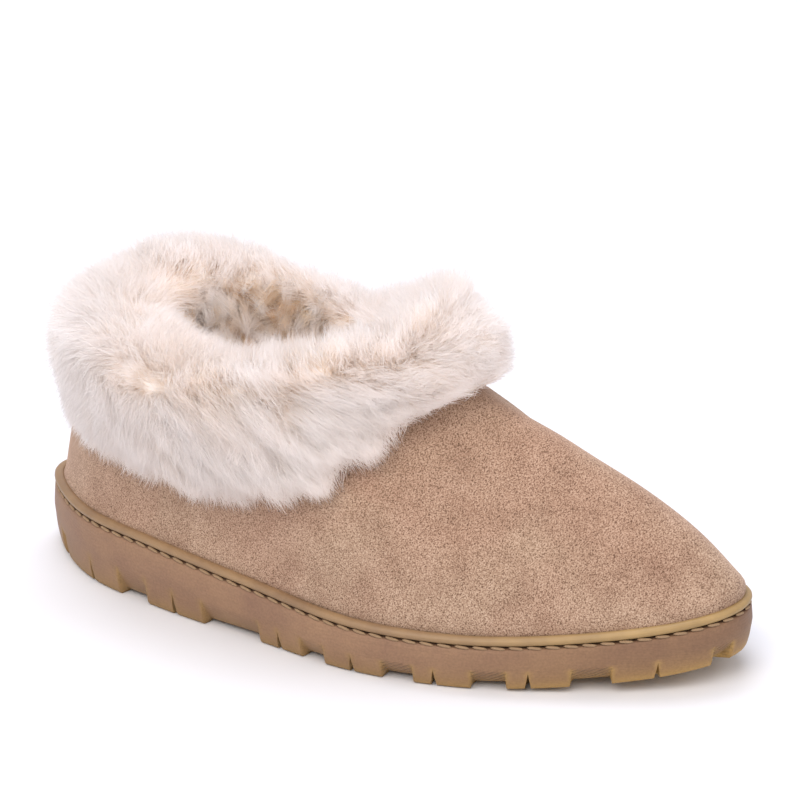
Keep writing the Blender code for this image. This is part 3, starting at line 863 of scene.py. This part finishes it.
rows = insole_surface()
faces = [grid_faces(len(rows), INSOLE_COLUMNS, False), *across(len(rows), INSOLE_COLUMNS)]
insole = piece("fleece_insole", rows.reshape(-1, 3), faces, fleece, ["insole"])

# %% [markdown]
# The same fleece lines the suede between the insole and the cuff. It is a closed sheet a little inside the
# wall: a plain back, and a lumpy face towards the foot.

# %% Lining
LINING_COLUMNS, LINING_ROWS = 300, 18
LINING_THICK, LINING_TUFTS = 1.6, 0.4
LINING_FOOT, LINING_TOP = 6.6, 0.46  # millimetres above the sole, and share of the cuff's flap


def lining_surface():
    """Rows up the back and down the face: points moved straight off the suede's inner side, the face by the
    sheet's thickness and its lumps as well."""
    turn = np.linspace(0.0, 2.0 * np.pi, LINING_COLUMNS, endpoint=False)[None, :]
    foot = wall_share(turn, LINING_FOOT / (collar(turn)[..., 2] - groove(share(turn)) - GAP))
    hem = wall_share(turn, along(ROUND, "hem", "turn", fold(turn)))
    top = hem + (1.0 - hem) * LINING_TOP
    up = foot + (top - foot) * np.linspace(0.0, 1.0, LINING_ROWS)[:, None]
    turn = turn + 0.0 * up
    back = off_wall(turn, up, np.full(up.shape, -WALL_THICK - GAP))
    lumps = LINING_TUFTS * tufted(back, 5.0, 4).clip(-2.0, 2.0)
    face = off_wall(turn, up, -WALL_THICK - GAP - LINING_THICK + lumps)
    return np.concatenate([back, face[::-1]])


rows = lining_surface()
piece("fleece_lining", rows.reshape(-1, 3), grid_faces(len(rows), LINING_COLUMNS, True), fleece)

# %% [markdown]
# The cuff is a strip of deep pile whose backing goes up the outside of the wall from its hem, over the
# collar and down the inside. A table gives the rows outside: where the backing is held, which way the pile
# stands off it and how deep it is. Further rows go over a roll to an oval mouth and down into the shoe. A
# second table says how the pile changes round the shoe. The hairs need a soft body to grow from, so first
# comes the pelt, at part of the pile's depth.

# %% The fold of the cuff
CUFF = table(
    "row along tilt depth",
    (-2, -0.38, -6.0, 2.0),
    (-1, -0.20, -10.0, 4.0),
    (0, 0.00, -20.0, 6.0),
    (1, 0.16, -5.0, 9.0),
    (2, 0.45, 5.0, 11.0),
    (3, 0.80, 15.0, 12.5),
)
ROLL_ROW, CREST_ROW, MOUTH_ROW = 3.0, 5.0, 7.0
CREST_DEPTH = 12.0
CUFF_GAP = 0.5
# By degrees of turn: millimetres that the pile stands further than the fold's own depth at the hem and
# outside, how high the crest is, how far hairs hang below the hem, how sharply they part, the row where the
# matted inside begins and that of the parting
PILE = table(
    "turn hem outside crest hang parted inside parting",
    (0, 4.5, 3.5, 5.0, 0.28, 0.4, 6.6, 3.0),
    (30, 2.0, 3.0, 8.0, 0.24, 0.9, 6.8, 3.3),
    (60, 0.0, 2.0, 7.0, 0.36, 1.0, 7.0, 3.2),
    (90, -1.0, 1.0, 8.0, 0.42, 0.9, 7.0, 3.3),
    (120, -3.0, 1.0, 12.0, 0.42, 0.4, 7.0, 4.4),
    (145, -4.5, 0.5, 10.0, 0.28, 0.1, 6.9, 5.7),
    (170, -6.0, 0.0, 9.0, 0.20, 0.0, 6.8, 6.2),
    (190, -4.5, -0.5, 12.5, 0.20, 0.0, 6.7, 6.2),
    (205, -3.0, -1.0, 17.5, 0.30, 0.0, 6.4, 6.0),
    (222, -1.0, 0.0, 18.5, 0.45, 0.0, 6.1, 5.6),
    (240, 0.0, 0.0, 18.5, 0.45, 0.0, 5.9, 5.4),
    (257, 0.0, 0.0, 16.0, 0.43, 0.0, 5.8, 5.3),
    (271, 0.0, 0.0, 13.5, 0.40, 0.0, 5.8, 5.2),
    (287, 0.0, 0.0, 2.0, 0.36, 0.0, 6.0, 5.0),
    (302, 0.0, 0.0, -1.0, 0.33, 0.0, 6.3, 4.6),
    (318, 0.0, 2.0, 4.0, 0.28, 0.1, 6.5, 4.2),
    (332, 0.0, 4.0, 7.5, 0.24, 0.2, 6.6, 3.6),
    (347, 4.5, 3.5, 5.0, 0.28, 0.3, 6.6, 3.2),
    (360, 4.5, 3.5, 5.0, 0.28, 0.4, 6.6, 3.0),
)
MOUTH_X, MOUTH_Y, MOUTH_RISE = 95.0, -2.0, 4.0
MOUTH_HALF_LENGTH, MOUTH_HALF_WIDTH = 41.0, 20.5
INSIDE_DEPTH, INSIDE_DROP, INSIDE_WIDEN = 12.0, 14.0, -3.0


def pile(turn, name):
    return np.interp(np.degrees(np.mod(turn, 2.0 * np.pi)), PILE["turn"], PILE[name])


def cuff_height(turn, part):
    """The wall's own measure at a share of the flap, from its hem (0) to the collar (1). Hairs that hang
    below the hem have a negative share."""
    hem = wall_share(turn, along(ROUND, "hem", "turn", fold(turn)))
    return hem + np.where(part < 0.0, pile(turn, "hang"), 1.0 - hem) * part


def matted(turn, row):
    """1 on the matted inside of the cuff and 0 on the clean pile, by an eased step."""
    return ease((row - pile(turn, "inside")) / 0.7)


def roll_angle(row):
    """The way over the roll: 0 on the outside, a quarter turn at the crest, a half at the mouth's edge."""
    return np.clip((row - ROLL_ROW) / (MOUTH_ROW - ROLL_ROW), 0.0, 1.0) * np.pi


def cuff_way(turn, row):
    """The way that the pile stands: off the wall by a tilt outside, up along the crest, and inwards at the
    mouth."""
    outer = np.minimum(row, ROLL_ROW)
    part, tilt = (np.interp(outer, CUFF["row"], CUFF[name]) for name in ("along", "tilt"))
    out, rise = wall_frame(turn, cuff_height(turn, part))
    tilt, angle = np.radians(tilt)[..., None], roll_angle(row)[..., None]
    inward = np.stack([-np.cos(turn), np.sin(turn), 0.0 * turn], -1)
    side = np.where(np.cos(angle) > 0.0, out * np.cos(tilt) + rise * np.sin(tilt), inward)
    return side * np.abs(np.cos(angle)) + np.array([0.0, 0.0, 1.0]) * np.sin(angle)


def cuff_point(turn, row, deep, stand=0.0):
    """A point at a share of the pile's depth, and a distance further. Outside it stands straight off the
    backing. Then it goes over the roll, half an ellipse on the line to an oval mouth, and down inside."""
    outer = np.minimum(row, ROLL_ROW)
    part, depth = (np.interp(outer, CUFF["row"], CUFF[name]) for name in ("along", "depth"))
    depth = depth * along(ROUND, "deep", "turn", fold(turn))
    more = pile(turn, "hem") * ease((2.8 - outer) / 2.0) + pile(turn, "outside") * ease(outer)
    high = np.maximum(depth * deep + more + stand, CUFF_GAP + GAP)
    outside = upper(turn, cuff_height(turn, part)) + cuff_way(turn, outer) * high[..., None]
    angle, past = roll_angle(row), np.maximum(row - MOUTH_ROW, 0.0)
    grow = INSIDE_DEPTH * (1.0 - deep) - stand + INSIDE_WIDEN * past
    mouth_x = MOUTH_X + (MOUTH_HALF_LENGTH + grow) * np.cos(turn)
    mouth_y = MOUTH_Y - (MOUTH_HALF_WIDTH + grow) * np.sin(turn)
    mouth = np.stack([mouth_x, mouth_y, collar(turn)[..., 2] + MOUTH_RISE - INSIDE_DROP * past], -1)
    over = (mouth - outside) * (0.5 - 0.5 * np.cos(angle))[..., None]
    over[..., 2] += (pile(turn, "crest") - CREST_DEPTH * (1.0 - deep) + stand) * np.sin(angle)
    return outside + over


print("crest of the pile round the shoe, in mm:", PILE["crest"].min(), "to", PILE["crest"].max())

# %% [markdown]
# Faux fur is fine acrylic fibre: tan and crimped at the root, pinkish white and straight at the tip. The tan
# at the root is partly the fibre's own colour and partly painted shade, the warm shade deep in the pile. Each
# hair carries a map whose height runs from root to tip and whose width is the hair's own tone, from tan to
# white, so one small colour chart paints every hair.

# %% Fur
TONES = 96
THROUGH = 0.8  # share of light that goes through a hair


def acrylic_fur(name, through):
    made, tree, shader = material(name)
    chart = add(tree, "SeparateXYZ", ("Vector", add(tree, "UVMap", uv_map="OFBake").outputs["UV"]))
    tone, tip = chart.outputs["X"], chart.outputs["Y"]
    # The root colours are partly the fibre's own tan and partly painted warm shade deep in the pile.
    root, end = (add(tree, "ValToRGB", ("Fac", tone), stops=stops).outputs["Color"]
                 for stops in (((0.0, "#c9a579"), (0.5, "#f6e4c9"), (0.8, "#f9eee2"), (1.0, "#fdf7f2")),
                               ((0.0, "#e6c8a0"), (0.5, "#fff5e8"), (0.8, "#fffbf9"), (1.0, "#fffdfc"))))
    rise = add(tree, "MapRange", ("Value", tip), ("From Min", 0.1), ("From Max", 0.75),
               interpolation_type="SMOOTHSTEP").outputs["Result"]
    hair = add(tree, "Mix", ("Factor", rise), (6, root), (7, end), **MIXED).outputs[2]
    feed(tree, shader, ("Base Color", hair), ("Roughness", 0.75), ("Specular IOR Level", 0.15))
    if through:
        lit = add(tree, "BsdfTranslucent", ("Color", hair)).outputs["BSDF"]
        both = add(tree, "MixShader", ("Fac", through), (1, shader.outputs["BSDF"]), (2, lit))
        feed(tree, tree.nodes["Material Output"], ("Surface", both.outputs["Shader"]))
    return made


# Hairs let light through, which is the soft glow of deep pile. The felt that they grow from doesn't.
fur, felt = acrylic_fur("combed_cream_acrylic_fur", THROUGH), acrylic_fur("felted_cream_undercoat", 0.0)
print("fur materials:", fur.name, felt.name)

# %% [markdown]
# The pelt is the felted undercoat that the hairs grow from. It is a closed tube: its free face follows the
# fold at part of the pile's depth, with low lumps, and its held face lies close along both sides of the
# suede wall. It shows only between the hairs, so it has their colours.

# %% Pelt
PELT_COLUMNS, PELT_DEEP = 300, 0.72
PELT_LUMPS, PELT_LUMP_MM = 0.8, 9.0
pelt_row = np.linspace(0.0, 8.6, 36)
turn = np.linspace(0.0, 2.0 * np.pi, PELT_COLUMNS, endpoint=False)[None, :]
row = pelt_row[:, None] + 0.0 * turn
free = cuff_point(turn + 0.0 * row, row, PELT_DEEP)
lumps = PELT_LUMPS * tufted(free, PELT_LUMP_MM, 5).clip(-1.5, 1.5)
free = cuff_point(turn + 0.0 * row, row, PELT_DEEP, lumps)
inside = np.array([1.0, 1.2, 1.4, 1.5])[::-1, None] + 0.0 * turn
held_in = off_wall(turn + 0.0 * inside, cuff_height(turn, 2.0 - inside),
                   np.full(inside.shape, -WALL_THICK - CUFF_GAP))
held_in[-1] += wall_frame(turn[0], np.ones(PELT_COLUMNS))[1] * GAP
part = np.array([0.0, 0.15, 0.3, 0.5, 0.75, 1.0])[::-1, None] + 0.0 * turn
held_out = off_wall(turn + 0.0 * part, cuff_height(turn, part), np.full(part.shape, CUFF_GAP))
held_out[0] += wall_frame(turn[0], np.ones(PELT_COLUMNS))[1] * GAP
rows = np.concatenate([free, held_in, held_out])
tone = np.concatenate([0.8 - 0.04 * matted(turn, row), 0.0 * inside + 0.4, 0.0 * part + 0.5])
chart = np.stack([tone, 0.5 + 0.0 * tone], -1)
piece("fur_pelt", rows.reshape(-1, 3), grid_faces(len(rows), PELT_COLUMNS, True), felt, ["fur_cuff"],
      {"OFBake": chart.reshape(-1, 2)})

# %% [markdown]
# The hairs grow in locks. A lock has a middle on the pelt and a share of its hairs round it, whose tips
# draw together. Hairs part along a line on the outer face of the fold: below it they are combed down towards
# the hem, above it up, over the crest and into the shoe. At the heel and on the inner side there is hardly a
# parting, and at both ends of the shoe they stand out. Inside the mouth they are drawn into crimped tufts,
# some darker than others. A hair is a ribbon, bent once, that ends in a point, its flat side turned
# outwards, and all hairs of a stretch of the cuff are one mesh.

# %% Hairs
PARTING_BLUR, PARTING_JUMP = 0.9, 0.4
COMBED_DOWN, COMBED_OVER = 0.9, 0.45
STANDING = 0.45  # share of that combing which is left at the throat and the heel, where hairs stand out
LOCKS, HAIRS_PER_LOCK = 2500, 100
HAIR_PIECES = 5
HAIR_WIDTH = 0.19  # a fibre is finer, drawn this wide so that it shows
LOCK_SPREAD = 3.0  # how far from its lock's middle a hair grows
# How far tips draw together: in all locks, and further where the pile parts or is matted
LOCK_DRAW, PARTED_DRAW, MATTED_DRAW = 0.2, 0.4, 0.45
HEM_ROW, INNER_ROW = -0.2, 8.6
FLOW, FLOW_SIZE = 2.6, 26.0  # locks side by side lean the same way, which changes over this distance
SOFT = 0.6  # unevenness of the pile away from the parting
SWING_LEAN = np.array([1.8, 0.14])[:, None, None]  # how far a lock's tip strays: millimetres aside, and rows
STRAY_RUFFLE = np.array([1.4, 0.12])[:, None, None]  # the same for a single hair
STAND, LOCK_STAND, HAIR_STAND = 2.6, 1.2, 1.7  # how far tips stand past the pile, and how that varies
ROOT_SINK = 1.2  # roots lie this far under the pelt's face
BEND, CRIMP, TUFT_CRIMP = 0.42, 0.6, 2.5  # share of its reach where a hair bends, and how unevenly
TWIST = 0.35  # how far a ribbon's flat side turns from facing outwards
TONE, TONE_BELOW, TONE_PARTING, TONE_INSIDE = 0.84, 0.1, -0.14, -0.07  # the usual tone, and what places add
TONE_HAIR, TONE_LOCK, TONE_TUFT = 0.05, 0.04, 0.17  # how it varies by hair, by lock and by tuft inside
STATIONS = np.array([0.0, 0.52])  # where along a hair its ribbon has a pair of points
STEP = 0.02  # of turn or row, for measuring the pelt
chance = np.random.default_rng(11)


def paces(turn, row):
    """Millimetres on the pelt for a unit of turn and for a unit of row, and how much pelt both cover."""
    round_ = cuff_point(turn + STEP, row, PELT_DEEP) - cuff_point(turn - STEP, row, PELT_DEEP)
    over = cuff_point(turn, row + STEP, PELT_DEEP) - cuff_point(turn, row - STEP, PELT_DEEP)
    round_, over = round_ / (2.0 * STEP), over / (2.0 * STEP)
    area = np.linalg.norm(np.cross(round_, over), axis=-1)
    return np.linalg.norm(round_, axis=-1), np.linalg.norm(over, axis=-1), area


def scattered(draw, count):
    """Turns and rows spread evenly over the pelt: even draws, kept in proportion to the pelt they cover."""
    turn = draw.uniform(0.0, 2.0 * np.pi, 8 * count)
    row = draw.uniform(HEM_ROW, INNER_ROW, 8 * count)
    area = paces(turn, row)[2]
    kept = np.flatnonzero(draw.uniform(size=turn.shape) * np.quantile(area, 0.98) < area)[:count]
    kept = kept[np.argsort(turn[kept])]
    return turn[kept][:, None], row[kept][:, None]


def combed(turn, row, parting):
    """Row where the tip of a hair lies: further from the parting than its root, up to a limit, and less so
    at both ends of the shoe and where it stands up on the crest."""
    away = row - parting
    jump = PARTING_JUMP * pile(turn, "parted")
    hung = STANDING + (1.0 - STANDING) * np.sin(turn) ** 2
    down, over = jump + COMBED_DOWN * hung * ease(-away / 1.8), jump + COMBED_OVER * ease(away / 1.5)
    return row + np.where(away < 0.0, -down, over * (1.0 - 0.8 * ease((row - CREST_ROW + 0.4) / 1.4)))


def hairs(draw, lock_turn, lock_row):
    """Ribbons of some locks: points of each hair's two edges and its tip, and its map. Each hair is a
    quadratic curve from its root, along the pile's own way, to its tip."""
    shape = (len(lock_turn), HAIRS_PER_LOCK)
    round_, over, _ = paces(lock_turn, lock_row)
    round_ = np.maximum(round_, 15.0)
    parted, tuft = pile(lock_turn, "parted"), matted(lock_turn, lock_row)
    aside, onward = draw.normal(size=(2, *shape)) * LOCK_SPREAD * (1.0 - 0.5 * tuft)
    turn = lock_turn + aside / round_
    row = np.clip(lock_row + onward / np.maximum(over, 4.0), -0.3, 8.8)
    keep = 1.0 - LOCK_DRAW - (PARTED_DRAW * parted) * (1.0 - tuft) - MATTED_DRAW * tuft
    rough = SOFT + (1.0 - SOFT) * parted
    curl = rough + 1.8 * tuft
    swing, lean = draw.normal(size=(2, len(lock_turn), 1)) * SWING_LEAN * curl
    grown = cuff_point(lock_turn, lock_row, PELT_DEEP)
    swing += FLOW * tufted(grown, FLOW_SIZE, 7)
    lean += 0.06 * FLOW * tufted(grown, FLOW_SIZE, 8)
    stray, ruffle = draw.normal(size=(2, *shape)) * STRAY_RUFFLE * rough
    tip_turn = lock_turn + (aside * keep + swing + stray) / round_
    inner = matted(turn, row)
    parting = pile(lock_turn, "parting") + PARTING_BLUR * draw.normal(size=lock_row.shape)
    lock_tip = combed(lock_turn, lock_row, parting)
    tip_row = lock_tip + lean + ruffle + (combed(turn, row, parting) - lock_tip) * keep
    stand = STAND + rough * draw.normal(0.0, LOCK_STAND, rough.shape) + draw.normal(0.0, HAIR_STAND, shape)
    stand = np.clip(stand * (1.0 - 0.3 * inner), -4.0, 8.0)
    way = cuff_way(turn, row)
    root = cuff_point(turn, row, PELT_DEEP, -ROOT_SINK)
    tip = cuff_point(tip_turn, np.clip(tip_row, -1.9, 9.0), 1.0, stand)
    reach = np.linalg.norm(tip - root, axis=-1, keepdims=True)
    bend = root + way * reach * BEND + draw.normal(size=root.shape) * CRIMP
    bend += draw.normal(size=(len(lock_turn), 1, 3)) * TUFT_CRIMP * tuft[..., None]
    s = STATIONS[:, None, None, None]
    curve = (1.0 - s) ** 2 * root + 2.0 * s * (1.0 - s) * bend + s**2 * tip
    tangent = (1.0 - s) * (bend - root) + s * (tip - bend)
    tangent /= np.linalg.norm(tangent, axis=-1, keepdims=True)
    wide = np.cross(tangent, way + draw.normal(size=root.shape) * TWIST)
    wide /= np.linalg.norm(wide, axis=-1, keepdims=True)
    half = 0.5 * HAIR_WIDTH * np.array([0.9, 1.0])[:, None, None, None]
    points = np.moveaxis(np.concatenate([curve - wide * half, curve + wide * half, tip[None]]), 0, 2)
    # Tones: whiter below the parting, tanner along it in patches, and uneven from lock to lock inside.
    # Along the parting the tan is partly the roots that show there and partly painted shade where the pile
    # opens.
    near_parting = np.exp(-(((lock_row - pile(lock_turn, "parting")) / 0.9) ** 2)) * parted
    near_parting *= 0.6 + 0.5 * tufted(grown, FLOW_SIZE, 9)
    tone = TONE + TONE_BELOW * ease((parting - lock_row) / 2.0) + TONE_HAIR * draw.normal(size=shape)
    tone = tone + (TONE_LOCK * rough + TONE_TUFT * tuft) * draw.normal(size=(len(lock_turn), 1))
    tone = np.clip(tone + TONE_PARTING * near_parting + TONE_INSIDE * inner, 0.02, 0.98)
    column = np.floor(tone * TONES)[..., None] / TONES
    edge_at = np.array([0.15, 0.15, 0.85, 0.85, 0.5]) / TONES
    up_at = np.concatenate([STATIONS, STATIONS, [1.0]])
    chart = np.stack(np.broadcast_arrays(column + edge_at, up_at + 0.0 * column), -1)
    return points.reshape(-1, 3), chart.reshape(-1, 2)


def hair_faces(count):
    """A square and a point for each hair of five points."""
    start = (np.arange(count) * 5)[:, None]
    return [start + [0, 2, 3, 1], start + [1, 3, 4]]


lock_turn, lock_row = scattered(chance, LOCKS)
for k, some in enumerate(np.array_split(np.arange(len(lock_turn)), HAIR_PIECES)):
    points, chart = hairs(chance, lock_turn[some], lock_row[some])
    faces = hair_faces(len(points) // 5)
    piece(f"fur_hairs_{k + 1}", points, faces, fur, ["fur_cuff"], {"OFBake": chart})
